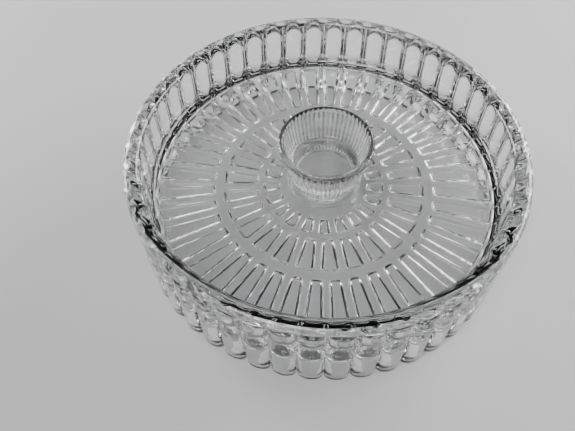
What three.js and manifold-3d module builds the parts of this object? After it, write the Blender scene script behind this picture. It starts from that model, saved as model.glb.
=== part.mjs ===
// Pressed-crystal chip and dip server, millimetres, +Z up, origin at the centre of the table plane.
// Two pieces of clear glass: a round tray with a pillared wall and a ribbed cup that lifts out of it.
import * as THREE from 'three';
import { mergeVertices } from 'three/addons/utils/BufferGeometryUtils.js';
import Module from 'manifold-3d';

const wasm = await Module();
wasm.setup();

// ---- driving dimensions ----
const TRAY_HEIGHT = 88;
const RIM_RADIUS = 151.5; // widest line of the smooth rounded rim
const CROWN_RADIUS = 146; // top line of the rim
const RIM_DROP = 4; // from the top line down to the widest line
const WALL_OUTER_RADIUS = 146.5; // valleys between the pillars
const WALL_INNER_RADIUS = 139; // smooth inside of the thick wall
const CROWN_DROP = 6; // from the top line down to the inside of the wall
const FLOOR_TOP = 48;
const FLOOR_BOTTOM = 32; // smooth plane that the underside bars stand out from
const FLOOR_FLAT_RADIUS = 130; // where the floor starts to curve up into the wall
const COVE_HEIGHT = 9;
const SKIRT_INNER_RADIUS = 141; // inside of the hollow foot, below the floor
const FOOT_ROUND = 2.5; // rounding of the foot's outer edge

const PILLAR_COUNT = 48;
const PILLAR_DEPTH = 5.5;
const PILLAR_TOP = 84;
const PILLAR_ROUND = 10; // height over which a pillar's ends round off
const PILLAR_FULLNESS = 0.6; // 1 for a sine section, towards 0 for a square one
const PILLAR_FOOT_SHARE = 0.6; // how much of the foot's rounding is already done at the table plane
const SEGMENTS_PER_PILLAR = 4;
const SMOOTH_SEGMENTS = 96;

// Rings of flat bars pressed into the underside: radii, bar widths at both ends, number of bars.
const BAR_DEPTH = 3.8;
const BAR_ROOT = 1; // how far a bar reaches into the floor
const BAR_RINGS = [
  { count: 40, inner: 88, outer: 137, innerWidth: 9.7, outerWidth: 16.5 },
  { count: 26, inner: 53, outer: 82, innerWidth: 9.1, outerWidth: 15.2 },
  { count: 21, inner: 34.5, outer: 49.5, innerWidth: 7.3, outerWidth: 11.2 },
];

const SEAT_RADIUS = 27.5; // round socket that the cup's foot stands in
const SEAT_DEPTH = 12;
const SEAT_FLARE = 1.5; // how much wider the socket is at its mouth
const SEAT_FLOOR = FLOOR_TOP - SEAT_DEPTH;
const GAP = 0.3; // between the cup's foot and its seat

const CUP_TOP = 91;
const CUP_RIM_RADIUS = 36.5;
const CUP_RIM_HALF = 2; // height from the rim's top down to its widest line
const CUP_BAND = 4; // smooth band under the rim, down from the top
const CUP_INNER_RADIUS = 32;
const CUP_MOUTH_FLARE = 1.8;
const CUP_TAPER = 2.5; // how much narrower the dip space is above its corner than at the mouth
const CUP_FLOOR = 67; // bottom of the dip space
const CUP_FLOOR_RADIUS = 24;
const CUP_CORNER = 8; // height of the rounded corner round the dip space's floor
const CUP_FOOT_RADIUS = 26.4;
const CUP_FOOT_THICKNESS = 3.5;
const CUP_FOOT_EDGE = 1; // rounding of the foot disc's edge
const CUP_STEM_RADIUS = 21.6;
const CUP_NECK = 2.6; // height of the curve from the foot disc up to the stem
const CUP_KNEE = [30.5, 69]; // the bowl's outside bends towards this radius and height
const CUP_RIBS_BOTTOM = 45;
const CUP_RIB_COUNT = 54;
const CUP_RIB_DEPTH = 1.2;

const GLASS = { color: 0xe9eff0, roughness: 0.05, metalness: 0 };
const MERGE_TOLERANCE = 1e-4;
const AXIS_RADIUS = 1; // points nearer the axis than this are the ends of a profile

// ---- helpers ----
// Turns a three.js geometry into a solid, leaving out the flat triangles that a lathe makes on its axis.
function solidFrom(geometry) {
  const bare = geometry.clone();
  bare.deleteAttribute('normal');
  bare.deleteAttribute('uv');
  const merged = mergeVertices(bare, MERGE_TOLERANCE);
  const corners = merged.index.array;
  const kept = [];
  for (let i = 0; i < corners.length; i += 3) {
    const [a, b, c] = corners.slice(i, i + 3);
    if (a !== b && b !== c && c !== a) kept.push(a, b, c);
  }
  const vertProperties = merged.attributes.position.array;
  return new wasm.Manifold(new wasm.Mesh({ numProp: 3, vertProperties, triVerts: new Uint32Array(kept) }));
}

function meshFrom(name, solid) {
  const result = solid.getMesh();
  const geometry = new THREE.BufferGeometry();
  geometry.setAttribute('position', new THREE.BufferAttribute(result.vertProperties, 3));
  geometry.setIndex(new THREE.BufferAttribute(result.triVerts, 1));
  geometry.computeVertexNormals();
  const mesh = new THREE.Mesh(geometry, new THREE.MeshStandardMaterial(GLASS));
  mesh.name = name;
  return mesh;
}

// Revolves [radius, height] points about +Z. shape(angle, height) adds to the radius of outer points.
function revolve(profile, segments, shape = () => 0) {
  const geometry = new THREE.LatheGeometry(profile.map(([r, z]) => new THREE.Vector2(r, z)), segments);
  geometry.rotateX(Math.PI / 2);
  const place = geometry.attributes.position;
  for (let i = 0; i < place.count; i += 1) {
    const [x, y, z] = [place.getX(i), place.getY(i), place.getZ(i)];
    const radius = Math.hypot(x, y);
    if (radius < AXIS_RADIUS) continue;
    const scale = (radius + shape(Math.atan2(y, x), z)) / radius;
    place.setXY(i, x * scale, y * scale);
  }
  return solidFrom(geometry);
}

// Points of a quarter circle from [r0, z0] to [r1, z1], leaving r0 level and reaching r1 upright.
function cove(r0, z0, r1, z1, steps) {
  return Array.from({ length: steps + 1 }, (_, i) => {
    const turn = (i / steps) * (Math.PI / 2);
    return [r0 + (r1 - r0) * Math.sin(turn), z0 + (z1 - z0) * (1 - Math.cos(turn))];
  });
}

// ---- tray ----
// How far a pillar stands out of the wall: full height in the middle, rounded at the top and the foot.
function pillarShape(angle, height) {
  const across = Math.abs(Math.cos((angle * PILLAR_COUNT) / 2)) ** PILLAR_FULLNESS;
  const fromTop = THREE.MathUtils.clamp((PILLAR_TOP - height) / PILLAR_ROUND, 0, 1);
  const fromFoot = THREE.MathUtils.clamp(PILLAR_FOOT_SHARE + height / PILLAR_ROUND, 0, 1);
  return PILLAR_DEPTH * across * Math.sqrt(fromTop * fromFoot);
}

function trayDrum() {
  const rim = cove(CROWN_RADIUS, -TRAY_HEIGHT, RIM_RADIUS, RIM_DROP - TRAY_HEIGHT, 3)
    .map(([r, z]) => [r, -z]);
  const profile = [
    [0, 0],
    [WALL_OUTER_RADIUS - FOOT_ROUND, 0],
    [WALL_OUTER_RADIUS - FOOT_ROUND / 3, FOOT_ROUND * 0.6],
    [WALL_OUTER_RADIUS, FOOT_ROUND * 2],
    [WALL_OUTER_RADIUS, PILLAR_TOP - PILLAR_ROUND],
    [WALL_OUTER_RADIUS, PILLAR_TOP - PILLAR_ROUND / 3],
    [WALL_OUTER_RADIUS, PILLAR_TOP],
    ...rim.reverse(),
    [0, TRAY_HEIGHT],
  ];
  const onPillars = (height) => height > 0 && height < PILLAR_TOP;
  const shape = (angle, height) => (onPillars(height) ? pillarShape(angle, height) : 0);
  return revolve(profile, PILLAR_COUNT * SEGMENTS_PER_PILLAR, shape);
}

// The space over the floor: socket, level floor, cove, inside of the wall and inner half of the rim.
function chipSpace() {
  const wallTop = TRAY_HEIGHT - CROWN_DROP;
  const crown = Array.from({ length: 3 }, (_, i) => {
    const turn = ((i + 1) / 3) * (Math.PI / 2);
    const across = (CROWN_RADIUS - WALL_INNER_RADIUS) * (1 - Math.cos(turn));
    return [WALL_INNER_RADIUS + across, wallTop + CROWN_DROP * Math.sin(turn)];
  });
  return revolve([
    [0, SEAT_FLOOR],
    [SEAT_RADIUS, SEAT_FLOOR],
    [SEAT_RADIUS + SEAT_FLARE, FLOOR_TOP],
    ...cove(FLOOR_FLAT_RADIUS, FLOOR_TOP, WALL_INNER_RADIUS, FLOOR_TOP + COVE_HEIGHT, 4),
    [WALL_INNER_RADIUS, wallTop],
    ...crown,
    [CROWN_RADIUS, TRAY_HEIGHT + 1],
    [0, TRAY_HEIGHT + 1],
  ], SMOOTH_SEGMENTS);
}

// The hollow inside the foot, under the floor.
function underside() {
  return revolve([
    [0, -1],
    [SKIRT_INNER_RADIUS, -1],
    [SKIRT_INNER_RADIUS, FLOOR_BOTTOM - 3],
    [SKIRT_INNER_RADIUS - 2, FLOOR_BOTTOM],
    [0, FLOOR_BOTTOM],
  ], SMOOTH_SEGMENTS);
}

// One flat bar along +X, reaching a little into the floor so that it joins on.
function bar({ inner, outer, innerWidth, outerWidth }) {
  const outline = new THREE.Shape([
    new THREE.Vector2(inner, -innerWidth / 2),
    new THREE.Vector2(outer, -outerWidth / 2),
    new THREE.Vector2(outer, outerWidth / 2),
    new THREE.Vector2(inner, innerWidth / 2),
  ]);
  return new THREE.ExtrudeGeometry(outline, { depth: BAR_DEPTH + BAR_ROOT, bevelEnabled: false });
}

function barRing(ring) {
  const bars = Array.from({ length: ring.count }, (_, i) => {
    const piece = bar(ring);
    piece.translate(0, 0, FLOOR_BOTTOM - BAR_DEPTH);
    piece.rotateZ((i / ring.count) * 2 * Math.PI);
    return solidFrom(piece);
  });
  return bars.reduce((joined, next) => joined.add(next));
}

function tray() {
  let solid = trayDrum().subtract(chipSpace()).subtract(underside());
  for (const ring of BAR_RINGS) solid = solid.add(barRing(ring));
  return meshFrom('tray', solid);
}

// ---- dip cup ----
// Fine upright ribs outside the bowl, from the stem up to the smooth band under the rim.
function ribShape(angle, height) {
  const onRibs = height > CUP_RIBS_BOTTOM && height < CUP_TOP - CUP_BAND;
  const crest = Math.cos(angle * CUP_RIB_COUNT) > 0;
  return onRibs && crest ? CUP_RIB_DEPTH : 0;
}

// Outside of the bowl as one smooth curve from the stem up to the band under the rim.
function bowlOutside() {
  const start = new THREE.Vector2(CUP_STEM_RADIUS, CUP_RIBS_BOTTOM);
  const end = new THREE.Vector2(CUP_RIM_RADIUS - CUP_RIB_DEPTH, CUP_TOP - CUP_BAND);
  const curve = new THREE.QuadraticBezierCurve(start, new THREE.Vector2(...CUP_KNEE), end);
  return curve.getPoints(5).map((point) => [point.x, point.y]);
}

function cupBody() {
  const foot = SEAT_FLOOR + GAP;
  const neck = foot + CUP_FOOT_THICKNESS;
  return revolve([
    [0, foot],
    [CUP_FOOT_RADIUS - CUP_FOOT_EDGE, foot],
    [CUP_FOOT_RADIUS, foot + CUP_FOOT_THICKNESS / 2],
    [CUP_FOOT_RADIUS - CUP_FOOT_EDGE, neck],
    [CUP_STEM_RADIUS, neck + CUP_NECK],
    ...bowlOutside(),
    [CUP_RIM_RADIUS, CUP_TOP - CUP_RIM_HALF],
    [CUP_RIM_RADIUS - CUP_RIM_HALF / 2, CUP_TOP],
    [0, CUP_TOP],
  ], CUP_RIB_COUNT * 2, ribShape);
}

function dipSpace() {
  const corner = cove(CUP_FLOOR_RADIUS, CUP_FLOOR, CUP_INNER_RADIUS - CUP_TAPER, CUP_FLOOR + CUP_CORNER, 3);
  return revolve([
    [0, CUP_FLOOR],
    ...corner,
    [CUP_INNER_RADIUS, CUP_TOP - CUP_RIM_HALF],
    [CUP_INNER_RADIUS + CUP_MOUTH_FLARE, CUP_TOP + 1],
    [0, CUP_TOP + 1],
  ], SMOOTH_SEGMENTS);
}

function dipCup() {
  return meshFrom('dip_cup', cupBody().subtract(dipSpace()));
}

// ---- assembly ----
const server = new THREE.Group();
server.add(tray(), dipCup());

export default server;
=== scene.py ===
"""Looks of the pressed-crystal chip and dip server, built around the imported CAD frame. Metres, +Z up."""

import math

import bpy
from mathutils import Matrix, Vector

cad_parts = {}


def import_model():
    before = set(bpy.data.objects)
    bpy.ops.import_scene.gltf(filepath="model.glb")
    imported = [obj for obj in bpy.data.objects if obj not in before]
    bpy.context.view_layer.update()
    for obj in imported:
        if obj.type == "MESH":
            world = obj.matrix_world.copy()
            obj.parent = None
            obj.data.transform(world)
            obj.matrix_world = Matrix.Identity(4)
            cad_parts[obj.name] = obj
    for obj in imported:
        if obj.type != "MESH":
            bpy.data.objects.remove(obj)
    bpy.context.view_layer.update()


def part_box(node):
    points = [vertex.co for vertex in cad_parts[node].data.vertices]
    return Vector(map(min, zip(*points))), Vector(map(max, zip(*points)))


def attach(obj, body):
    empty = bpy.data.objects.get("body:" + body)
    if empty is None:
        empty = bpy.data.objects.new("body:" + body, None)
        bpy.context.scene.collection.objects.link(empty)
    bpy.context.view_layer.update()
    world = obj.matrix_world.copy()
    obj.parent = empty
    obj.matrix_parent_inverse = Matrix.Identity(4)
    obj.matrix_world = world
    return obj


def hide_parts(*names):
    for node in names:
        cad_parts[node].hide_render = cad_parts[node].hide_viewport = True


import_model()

MM = 0.001

# ---- places taken from the frame ----
TRAY_LOW, TRAY_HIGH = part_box("tray")
CUP_LOW, CUP_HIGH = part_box("dip_cup")
RIM_TOP = TRAY_HIGH.z
PILLAR_RADIUS = TRAY_HIGH.x
CUP_FOOT = CUP_LOW.z
CUP_TOP = CUP_HIGH.z
CUP_RADIUS = CUP_HIGH.x

# ---- tray wall, its pillars and its rim ----
PILLAR_COUNT = 48
PILLAR_DEPTH = 5.5 * MM
PILLAR_SHARE = 0.97             # how much of its pitch each pillar takes up
PILLAR_LOW = -6 * MM            # a pillar's round lower end runs on below the foot, which cuts it off
PILLAR_STEPS = [0, 0.2, 0.4, 0.58, 0.74, 0.86, 0.95]    # grid lines from a crest (0) to a valley (1)
WALL_OUTER = PILLAR_RADIUS - PILLAR_DEPTH
WALL_INNER = 139 * MM
RIM_OUTER = PILLAR_RADIUS - 0.2 * MM
RIM_BAND = 4 * MM
RIM_BAND_BOTTOM = RIM_TOP - RIM_BAND
CROWN_RADIUS = 146 * MM
CROWN_DROP = 6 * MM
FOOT_ROUND = 2.5 * MM
FOOT_ROUND_HEIGHT = 4 * MM
FOOT_ROWS = [0.0, 0.4, 1.0, 1.8, 2.8, 4.0, 5.5, 7.0, 9.0]           # mm above the foot
ARCH_ROWS = [10, 8.6, 7.2, 5.9, 4.7, 3.6, 2.6, 1.7, 1.0, 0.4]       # mm below the rim band
INSIDE_SIDES = 384
SKIRT_INNER = 141 * MM
SKIRT_COVE = 3 * MM
SKIRT_SIDES = 480

# ---- tray floor, its bars and the cup's seat ----
FLOOR_TOP = 48 * MM
FLOOR_BOTTOM = 32 * MM
FLOOR_FLAT = 130 * MM
COVE_HEIGHT = 9 * MM
SEAT_DEPTH = 12 * MM
SEAT_RADIUS = 27.5 * MM
SEAT_FLARE = 1.5 * MM
SEAT_ROUND = 1.5 * MM
SEAT_MARGIN = 2 * MM
BAR_DEPTH = 3.8 * MM
BAR_FLANK = 2.7 * MM
BAR_CORNER = 3 * MM
BAR_END_ROWS = [-0.6, 0, 0.35, 0.7, 1.0, 1.3, 1.7, 2.3, 3.2]        # mm in from a bar's end
MIDDLE_ROWS = [8, 20, 30]                                           # mm from the axis
MIDDLE_SIDES = 336
BAR_RINGS = [
    {"count": 40, "inner": 88 * MM, "outer": 137 * MM, "widths": (9.7 * MM, 16.5 * MM)},
    {"count": 26, "inner": 53 * MM, "outer": 82 * MM, "widths": (9.1 * MM, 15.2 * MM)},
    {"count": 21, "inner": 34.5 * MM, "outer": 49.5 * MM, "widths": (7.3 * MM, 11.2 * MM)},
]

# ---- cup ----
CUP_RIBS = 54
CUP_RIB_DEPTH = 1.8 * MM
CUP_RIBS_BOTTOM = 45 * MM
RIB_STEPS = [0, 0.3, 0.6, 0.85]         # grid lines from a crest (0) to a valley (1)
CUP_INNER = CUP_RADIUS - 4.5 * MM
CUP_TAPER = 2.5 * MM
CUP_LIP = 3 * MM                # how far below the cup's top its ribs end and its inner wall begins
CUP_FLOOR = 67 * MM
CUP_FLOOR_RADIUS = 24 * MM
CUP_CORNER_HEIGHT = 12 * MM
CUP_BOWL_END = (CUP_RADIUS - CUP_RIB_DEPTH - 0.2 * MM, CUP_TOP - 4 * MM)
CUP_KNEE = (CUP_RADIUS - 6 * MM, CUP_TOP - 22 * MM)     # the bowl's curve bends towards this point
CUP_STEM = 21.6 * MM
CUP_STEM_FLARE = 0.4 * MM
CUP_NECK = (3.4 * MM, 2.6 * MM)
CUP_FOOT_RADIUS = 26.4 * MM
CUP_FOOT_THICK = 3.5 * MM
CUP_PUNT = 1.2 * MM
CUP_PUNT_RADIUS = 22 * MM
CUP_PUNT_ROWS = [4, 8, 12, 16, 19, 21]                              # mm from the axis
CUP_STAND_RADIUS = 22.5 * MM    # inner edge of the ring that the cup stands on

# ---- glass ----
GLASS_TINT = (0.985, 0.99, 0.99)
GLASS_IOR = 1.54
GLASS_UNEVEN = 0.985            # the darkest the tint gets, as a share of itself
GLASS_RIPPLE = 0.08
RIPPLE_DEPTH = 0.3 * MM
GLOSS_SPREAD = 0.02
SCUFF_ROUGHNESS = 0.35
SCUFF_FULL = 0.2 * MM           # scuffed in full up to this height above the foot
SCUFF_END = 1.2 * MM            # and not at all above this one

# ---- camera: angles in degrees, distance in metres, lens in millimetres ----
CAMERA_ELEVATION = 48.5
CAMERA_DISTANCE = 0.435
CAMERA_YAW = 3.37
CAMERA_PITCH = -7.4
CAMERA_ROLL = -3.71
CAMERA_LENS = 36

# ---- stage: floor in metres, the sun's apparent width in degrees ----
FLOOR_SIZE = 8
SUN_WIDTH = 30
LIGHT_AIM = (0, 0, 0.04)


def smooth(t):
    t = min(max(t, 0.0), 1.0)
    return t * t * (3 - 2 * t)


def mix(a, b, t):
    return a + (b - a) * t


# ---------------------------------------------------------------- mesh building
class Loft:
    """Rings of points joined into one closed skin, from the bottom pole round to the top one."""

    def __init__(self):
        self.points = []
        self.faces = []
        self.last = None

    def pole(self, z):
        """A single point on the axis, joined to the last ring if there is one."""
        index = len(self.points)
        self.points.append((0.0, 0.0, z))
        if self.last:
            for a, b in pairs(self.last):
                self.faces.append((a, b, index))
        self.last = [index]

    def ring(self, angles, radii, heights):
        """A closed ring; radii and heights are lists as long as angles."""
        start = len(self.points)
        for a, r, z in zip(angles, radii, heights):
            self.points.append((r * math.cos(a), r * math.sin(a), z))
        ring = list(range(start, len(self.points)))
        if self.last:
            self.join(self.last, ring)
        self.last = ring

    def join(self, low, high):
        if len(low) == 1:
            self.faces += [(b, a, low[0]) for a, b in pairs(high)]
        elif len(low) == len(high):
            self.faces += [(a, b, d, c) for (a, b), (c, d) in zip(pairs(low), pairs(high))]
        else:
            self.zip_rings(low, high)

    def zip_rings(self, low, high):
        """Triangles between two rings with different counts, always along the shorter next edge."""
        i = j = 0
        while i < len(low) or j < len(high):
            if j >= len(high) or (i < len(low) and (i + 1) / len(low) <= (j + 1) / len(high)):
                self.faces.append((low[i], low[(i + 1) % len(low)], high[j % len(high)]))
                i += 1
            else:
                self.faces.append((low[i % len(low)], high[(j + 1) % len(high)], high[j]))
                j += 1

    def object(self, name, material):
        mesh = bpy.data.meshes.new(name)
        mesh.from_pydata(self.points, [], self.faces)
        mesh.polygons.foreach_set("use_smooth", [True] * len(mesh.polygons))
        mesh.materials.append(material)
        mesh.update()
        piece = bpy.data.objects.new(name, mesh)
        bpy.context.scene.collection.objects.link(piece)
        return piece


def pairs(ring):
    return zip(ring, ring[1:] + ring[:1])


def even_angles(count):
    return [2 * math.pi * i / count for i in range(count)]


def plain_rings(loft, profile, angles):
    """Rings of a plain surface of revolution through (radius, height) points."""
    for r, z in profile:
        loft.ring(angles, [r] * len(angles), [z] * len(angles))


def arc(centre, radius, start, end, steps):
    """Points (r, z) of a circular arc between two angles in degrees, squashed if radius is a pair."""
    rr, rz = radius if isinstance(radius, tuple) else (radius, radius)
    turn = [math.radians(mix(start, end, i / steps)) for i in range(steps + 1)]
    return [(centre[0] + rr * math.cos(t), centre[1] + rz * math.sin(t)) for t in turn]


def line(start, end, steps):
    return [(mix(start[0], end[0], i / steps), mix(start[1], end[1], i / steps)) for i in range(steps + 1)]


def mirrored_angles(count, half):
    """One pitch's grid lines, mirrored about its middle and repeated round the whole circle."""
    half_pitch = math.pi / count
    one = [-half_pitch] + [-a for a in reversed(half[1:])] + half
    return [i * 2 * half_pitch + a for i in range(count) for a in one]


def share_angles(count, steps):
    """Grid lines of one pitch, at these shares of half a pitch from its middle."""
    return mirrored_angles(count, [s * (math.pi / count) for s in steps])


def angle_off(angle, count):
    """How far an angle is from the middle of the nearest of count even shares of the circle."""
    pitch = 2 * math.pi / count
    return abs((angle + pitch / 2) % pitch - pitch / 2)


# ---------------------------------------------------------------- tray
def bar_width(ring, r):
    return mix(*ring["widths"], (r - ring["inner"]) / (ring["outer"] - ring["inner"]))


def bar_angles(ring, r):
    """Angles of one ring of points under the bars, with grid lines that follow the bars' edges."""
    half_pitch = math.pi / ring["count"]
    edge = bar_width(ring, r) / 2 / r
    flank = BAR_FLANK / r
    half = [0, 0.5 * (edge - flank)]
    half += [edge - flank * (1 - i / 4) for i in range(5)]
    half += [mix(edge, half_pitch, 0.5)]
    return mirrored_angles(ring["count"], half)


def bar_height(ring, r, angle):
    """How far the underside stands down at this point: 0 in the gaps, 1 on a bar."""
    across = r * angle_off(angle, ring["count"]) - bar_width(ring, r) / 2 + BAR_CORNER
    middle = (ring["inner"] + ring["outer"]) / 2
    along = abs(r - middle) - (ring["outer"] - ring["inner"]) / 2 + BAR_CORNER
    distance = math.hypot(max(across, 0), max(along, 0)) + min(max(across, along), 0) - BAR_CORNER
    return smooth(-distance / BAR_FLANK)


def bar_radii(ring):
    """Radii of the rows of points under a ring of bars, close together at the bars' ends."""
    low = [ring["inner"] + e * MM for e in BAR_END_ROWS]
    high = [ring["outer"] - e * MM for e in reversed(BAR_END_ROWS)]
    steps = max(4, round((high[0] - low[-1]) / (3 * MM)))
    return low + [mix(low[-1], high[0], i / steps) for i in range(1, steps)] + high


def barred_underside(loft):
    """Smooth middle, then the three rings of bars, working outwards."""
    plain_rings(loft, [(r * MM, FLOOR_BOTTOM) for r in MIDDLE_ROWS], even_angles(MIDDLE_SIDES))
    for ring in reversed(BAR_RINGS):
        for r in bar_radii(ring):
            angles = bar_angles(ring, max(ring["inner"], min(r, ring["outer"])))
            heights = [FLOOR_BOTTOM - BAR_DEPTH * bar_height(ring, r, a) for a in angles]
            loft.ring(angles, [r] * len(angles), heights)


def pillar_bulge(angle, z):
    """0 in the valleys, 1 on a pillar's crest; each pillar is a capsule with round ends."""
    half_width = PILLAR_SHARE * WALL_OUTER * (math.pi / PILLAR_COUNT)
    off = WALL_OUTER * angle_off(angle, PILLAR_COUNT)
    past = max(z - (RIM_BAND_BOTTOM - half_width), PILLAR_LOW + half_width - z, 0)
    inside = 1 - math.hypot(off, past) / half_width
    return math.sqrt(max(0.0, 1 - (1 - max(inside, 0)) ** 2))


def outer_wall(loft):
    """From the foot's edge up to the rim band, with rows close together at the pillars' round ends."""
    angles = share_angles(PILLAR_COUNT, PILLAR_STEPS)
    foot = [h * MM for h in FOOT_ROWS]
    arch = [RIM_BAND_BOTTOM - h * MM for h in ARCH_ROWS]
    body = [mix(foot[-1], arch[0], i / 14) for i in range(1, 14)]
    for z in foot + body + arch:
        base = WALL_OUTER - FOOT_ROUND * (1 - smooth(z / FOOT_ROUND_HEIGHT + 0.1))
        radii = [base + PILLAR_DEPTH * pillar_bulge(a, z) for a in angles]
        loft.ring(angles, radii, [z] * len(angles))


def rim_profile():
    """Rounded rim, from the pillars' tops over to the inside of the wall."""
    outer = arc((CROWN_RADIUS, RIM_BAND_BOTTOM), (RIM_OUTER - CROWN_RADIUS, RIM_BAND), 0, 90, 12)
    inner = arc((CROWN_RADIUS, RIM_TOP - CROWN_DROP), (CROWN_RADIUS - WALL_INNER, CROWN_DROP), 90, 180, 12)
    return outer + inner[1:]


def inside_profile():
    """Inner wall, cove, level floor and the round socket for the cup's foot."""
    cove_top = FLOOR_TOP + COVE_HEIGHT
    wall = line((WALL_INNER, RIM_TOP - CROWN_DROP), (WALL_INNER, cove_top), 4)
    cove = arc((FLOOR_FLAT, cove_top), (WALL_INNER - FLOOR_FLAT, COVE_HEIGHT), 0, -90, 12)
    floor = line((FLOOR_FLAT, FLOOR_TOP), (SEAT_RADIUS + SEAT_FLARE + SEAT_MARGIN, FLOOR_TOP), 16)
    lip = arc((SEAT_RADIUS + SEAT_FLARE + SEAT_ROUND, FLOOR_TOP - SEAT_ROUND), SEAT_ROUND, 90, 175, 5)
    seat_floor = FLOOR_TOP - SEAT_DEPTH
    corner = arc((SEAT_RADIUS - SEAT_ROUND, seat_floor + SEAT_ROUND), SEAT_ROUND, 0, -90, 5)
    return wall[1:] + cove[1:] + floor[1:] + lip + corner + [(SEAT_RADIUS / 2, seat_floor)]


def skirt_profile():
    """Inside of the hollow foot, from under the floor down to the rounded edge it stands on."""
    cove = arc((SKIRT_INNER - SKIRT_COVE, FLOOR_BOTTOM - SKIRT_COVE), SKIRT_COVE, 80, 0, 5)
    wall = [(SKIRT_INNER, 8 * MM), (SKIRT_INNER, 3 * MM)]
    edge = [(SKIRT_INNER + 0.2 * MM, 1 * MM), (SKIRT_INNER + 1 * MM, 0.0)]
    return cove + wall + edge


def tray_mesh(material):
    loft = Loft()
    loft.pole(FLOOR_BOTTOM)
    barred_underside(loft)
    plain_rings(loft, skirt_profile(), even_angles(SKIRT_SIDES))
    outer_wall(loft)
    plain_rings(loft, rim_profile() + inside_profile(), even_angles(INSIDE_SIDES))
    loft.pole(FLOOR_TOP - SEAT_DEPTH)
    return loft.object("tray_glass", material)


# ---------------------------------------------------------------- cup
def cup_outline():
    """Outside of the cup from the edge of its foot to just under its rim, as (radius, height)."""
    half = CUP_FOOT_THICK / 2
    foot = arc((CUP_FOOT_RADIUS - half, CUP_FOOT + half), half, -80, 75, 8)
    neck_top = CUP_FOOT + CUP_FOOT_THICK + CUP_NECK[1]
    neck = arc((CUP_STEM + CUP_NECK[0], neck_top), CUP_NECK, -90, -180, 6)
    stem = line((CUP_STEM, neck_top), (CUP_STEM + CUP_STEM_FLARE, CUP_RIBS_BOTTOM), 3)
    start = Vector((CUP_STEM + CUP_STEM_FLARE, CUP_RIBS_BOTTOM))
    end = Vector(CUP_BOWL_END)
    knee = Vector(CUP_KNEE)
    bowl = [start.lerp(knee, t).lerp(knee.lerp(end, t), t) for t in [i / 24 for i in range(1, 25)]]
    return foot + neck + stem[1:] + [(p.x, p.y) for p in bowl]


def cup_underside():
    """Shallow hollow under the foot, from near the axis out to the ring that the cup stands on."""
    hollow = [(r * MM, CUP_FOOT + CUP_PUNT * (1 - (r * MM / CUP_PUNT_RADIUS) ** 2)) for r in CUP_PUNT_ROWS]
    return hollow + [(CUP_STAND_RADIUS, CUP_FOOT)]


def cup_inside():
    """Inner wall, round corner and level floor of the dip space."""
    wall_foot = (CUP_INNER - CUP_TAPER, CUP_FLOOR + CUP_CORNER_HEIGHT)
    wall = line((CUP_INNER, CUP_TOP - CUP_LIP), wall_foot, 8)
    corner_size = (wall_foot[0] - CUP_FLOOR_RADIUS, CUP_CORNER_HEIGHT)
    corner = arc((CUP_FLOOR_RADIUS, wall_foot[1]), corner_size, 0, -90, 12)
    floor = [(CUP_FLOOR_RADIUS * s, CUP_FLOOR) for s in (0.7, 0.4, 0.15)]
    return wall[1:] + corner[1:] + floor


def rib_bulge(angle, z):
    """0 in the valleys between ribs, 1 on a rib's crest, fading out at both ends of the ribs."""
    off = angle_off(angle, CUP_RIBS) / (math.pi / CUP_RIBS)
    ends = smooth((z - CUP_RIBS_BOTTOM) / (3 * MM)) * smooth((CUP_TOP - CUP_LIP - z) / (2 * MM))
    return math.sqrt(max(0.0, 1 - off * off)) * ends


def cup_mesh(material):
    loft = Loft()
    angles = share_angles(CUP_RIBS, RIB_STEPS)
    loft.pole(CUP_FOOT + CUP_PUNT)
    plain_rings(loft, cup_underside(), angles)
    for r, z in cup_outline():
        radii = [r + CUP_RIB_DEPTH * rib_bulge(a, z) for a in angles]
        loft.ring(angles, radii, [z] * len(angles))
    half = (CUP_RADIUS - CUP_INNER) / 2
    plain_rings(loft, arc((CUP_RADIUS - half, CUP_TOP - half), half, 0, 180, 12), angles)
    plain_rings(loft, cup_inside(), angles)
    loft.pole(CUP_FLOOR)
    return loft.object("dip_cup_glass", material)


# ---------------------------------------------------------------- materials
def new_material(name):
    material = bpy.data.materials.new(name)
    material.use_nodes = True
    tree = material.node_tree
    return material, tree, tree.nodes["Principled BSDF"]


def noise(tree, scale, detail, vector):
    node = tree.nodes.new("ShaderNodeTexNoise")
    node.inputs["Scale"].default_value = scale
    node.inputs["Detail"].default_value = detail
    tree.links.new(vector, node.inputs["Vector"])
    return node.outputs["Fac"]


def ramp_between(tree, value, low, high):
    node = tree.nodes.new("ShaderNodeMapRange")
    node.inputs["To Min"].default_value = low
    node.inputs["To Max"].default_value = high
    tree.links.new(value, node.inputs["Value"])
    return node.outputs["Result"]


def multiply(tree, a, b):
    node = tree.nodes.new("ShaderNodeMath")
    node.operation = "MULTIPLY"
    tree.links.new(a, node.inputs[0])
    tree.links.new(b, node.inputs[1])
    return node.outputs[0]


def scuffs(tree, place, foot):
    """Rough just above the foot, where the piece rubs on what it stands on, broken up by fine noise."""
    split = tree.nodes.new("ShaderNodeSeparateXYZ")
    tree.links.new(place, split.inputs[0])
    low = tree.nodes.new("ShaderNodeMapRange")
    low.inputs["From Min"].default_value = foot + SCUFF_END
    low.inputs["From Max"].default_value = foot + SCUFF_FULL
    tree.links.new(split.outputs["Z"], low.inputs["Value"])
    return multiply(tree, low.outputs["Result"], noise(tree, 700, 4, place))


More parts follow.
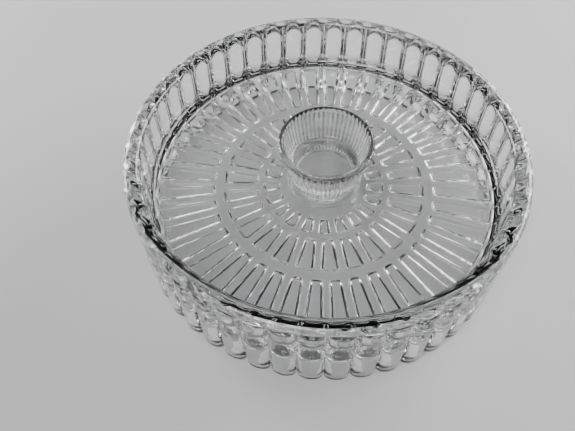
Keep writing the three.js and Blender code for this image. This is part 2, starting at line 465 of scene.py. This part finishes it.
def glass(name, foot):
    """Clear pressed crystal: a faint ripple from the mould, slightly uneven gloss and a scuffed foot."""
    material, tree, shader = new_material(name)
    shader.inputs["Transmission Weight"].default_value = 1
    shader.inputs["IOR"].default_value = GLASS_IOR
    place = tree.nodes.new("ShaderNodeTexCoord").outputs["Object"]
    cast = tree.nodes.new("ShaderNodeValToRGB")
    cast.color_ramp.elements[0].color = (*[GLASS_UNEVEN * part for part in GLASS_TINT], 1)
    cast.color_ramp.elements[1].color = (*GLASS_TINT, 1)
    tree.links.new(noise(tree, 14, 2, place), cast.inputs["Fac"])
    tree.links.new(cast.outputs["Color"], shader.inputs["Base Color"])
    gloss = tree.nodes.new("ShaderNodeMath")
    gloss.operation = "ADD"
    tree.links.new(ramp_between(tree, noise(tree, 60, 3, place), 0.0, GLOSS_SPREAD), gloss.inputs[0])
    tree.links.new(ramp_between(tree, scuffs(tree, place, foot), 0.0, SCUFF_ROUGHNESS), gloss.inputs[1])
    tree.links.new(gloss.outputs[0], shader.inputs["Roughness"])
    bump = tree.nodes.new("ShaderNodeBump")
    bump.inputs["Strength"].default_value = GLASS_RIPPLE
    bump.inputs["Distance"].default_value = RIPPLE_DEPTH
    tree.links.new(noise(tree, 90, 2, place), bump.inputs["Height"])
    tree.links.new(bump.outputs["Normal"], shader.inputs["Normal"])
    return material


def floor_material():
    material, tree, shader = new_material("pale_floor")
    place = tree.nodes.new("ShaderNodeTexCoord").outputs["Object"]
    shader.inputs["Base Color"].default_value = (0.8, 0.8, 0.805, 1)
    tree.links.new(ramp_between(tree, noise(tree, 40, 4, place), 0.55, 0.7), shader.inputs["Roughness"])
    return material


# ---------------------------------------------------------------- stage
def floor():
    bpy.ops.mesh.primitive_plane_add(size=FLOOR_SIZE)
    plane = bpy.context.object
    plane.name = "floor"
    plane.data.materials.append(floor_material())


def area_light(name, place, size, power):
    data = bpy.data.lights.new(name, "AREA")
    data.shape = "RECTANGLE"
    data.size, data.size_y = size
    data.energy = power
    lamp = bpy.data.objects.new(name, data)
    lamp.location = place
    lamp.rotation_euler = (Vector(LIGHT_AIM) - Vector(place)).to_track_quat("-Z", "Y").to_euler()
    bpy.context.scene.collection.objects.link(lamp)


def soft_sun(name, direction, strength):
    """A very wide, even light from one direction, so that the whole floor is lit alike."""
    data = bpy.data.lights.new(name, "SUN")
    data.angle = math.radians(SUN_WIDTH)
    data.energy = strength
    lamp = bpy.data.objects.new(name, data)
    lamp.rotation_euler = Vector(direction).to_track_quat("Z", "Y").to_euler()
    bpy.context.scene.collection.objects.link(lamp)


def lights():
    soft_sun("broad_key", (-0.3, -0.7, 1.7), 1.7)
    area_light("window_right", (1.3, 0.9, 0.75), (1.8, 0.6), 34)
    area_light("window_left", (-1.35, 0.75, 0.5), (0.7, 0.5), 16)


def world():
    """Soft studio surround: bright and even round the horizon, dim overhead."""
    space = bpy.data.worlds.new("studio")
    space.use_nodes = True
    tree = space.node_tree
    background = tree.nodes["Background"]
    background.inputs["Color"].default_value = (0.94, 0.96, 1.0, 1)
    split = tree.nodes.new("ShaderNodeSeparateXYZ")
    tree.links.new(tree.nodes.new("ShaderNodeTexCoord").outputs["Generated"], split.inputs[0])
    fall = tree.nodes.new("ShaderNodeMapRange")
    fall.interpolation_type = "SMOOTHSTEP"
    for name, value in (("From Min", 0.03), ("From Max", 0.3), ("To Min", 0.75), ("To Max", 0.02)):
        fall.inputs[name].default_value = value
    tree.links.new(split.outputs["Z"], fall.inputs["Value"])
    tree.links.new(fall.outputs["Result"], background.inputs["Strength"])
    bpy.context.scene.world = space


def camera():
    """Looks at the middle of the rim from the front, then turned a little aside, tipped and rolled."""
    data = bpy.data.cameras.new("camera")
    data.lens = CAMERA_LENS
    data.clip_start = 0.01
    view = bpy.data.objects.new("camera", data)
    centre = Vector((0, 0, RIM_TOP))
    rise = math.radians(CAMERA_ELEVATION)
    place = centre + CAMERA_DISTANCE * Vector((0, -math.cos(rise), math.sin(rise)))
    aim = (centre - place).to_track_quat("-Z", "Y").to_matrix().to_4x4()
    turn = Matrix.Rotation(math.radians(CAMERA_YAW), 4, "Y")
    tip = Matrix.Rotation(math.radians(CAMERA_PITCH), 4, "X")
    roll = Matrix.Rotation(math.radians(-CAMERA_ROLL), 4, "Z")
    view.matrix_world = Matrix.Translation(place) @ aim @ turn @ tip @ roll
    bpy.context.scene.collection.objects.link(view)
    bpy.context.scene.camera = view


def build():
    camera()
    tray = tray_mesh(glass("crystal_tray", TRAY_LOW.z))
    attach(tray, "tray")
    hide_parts("tray")
    cup = cup_mesh(glass("crystal_cup", CUP_FOOT))
    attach(cup, "cup")
    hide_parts("dip_cup")
    floor()
    lights()
    world()


build()
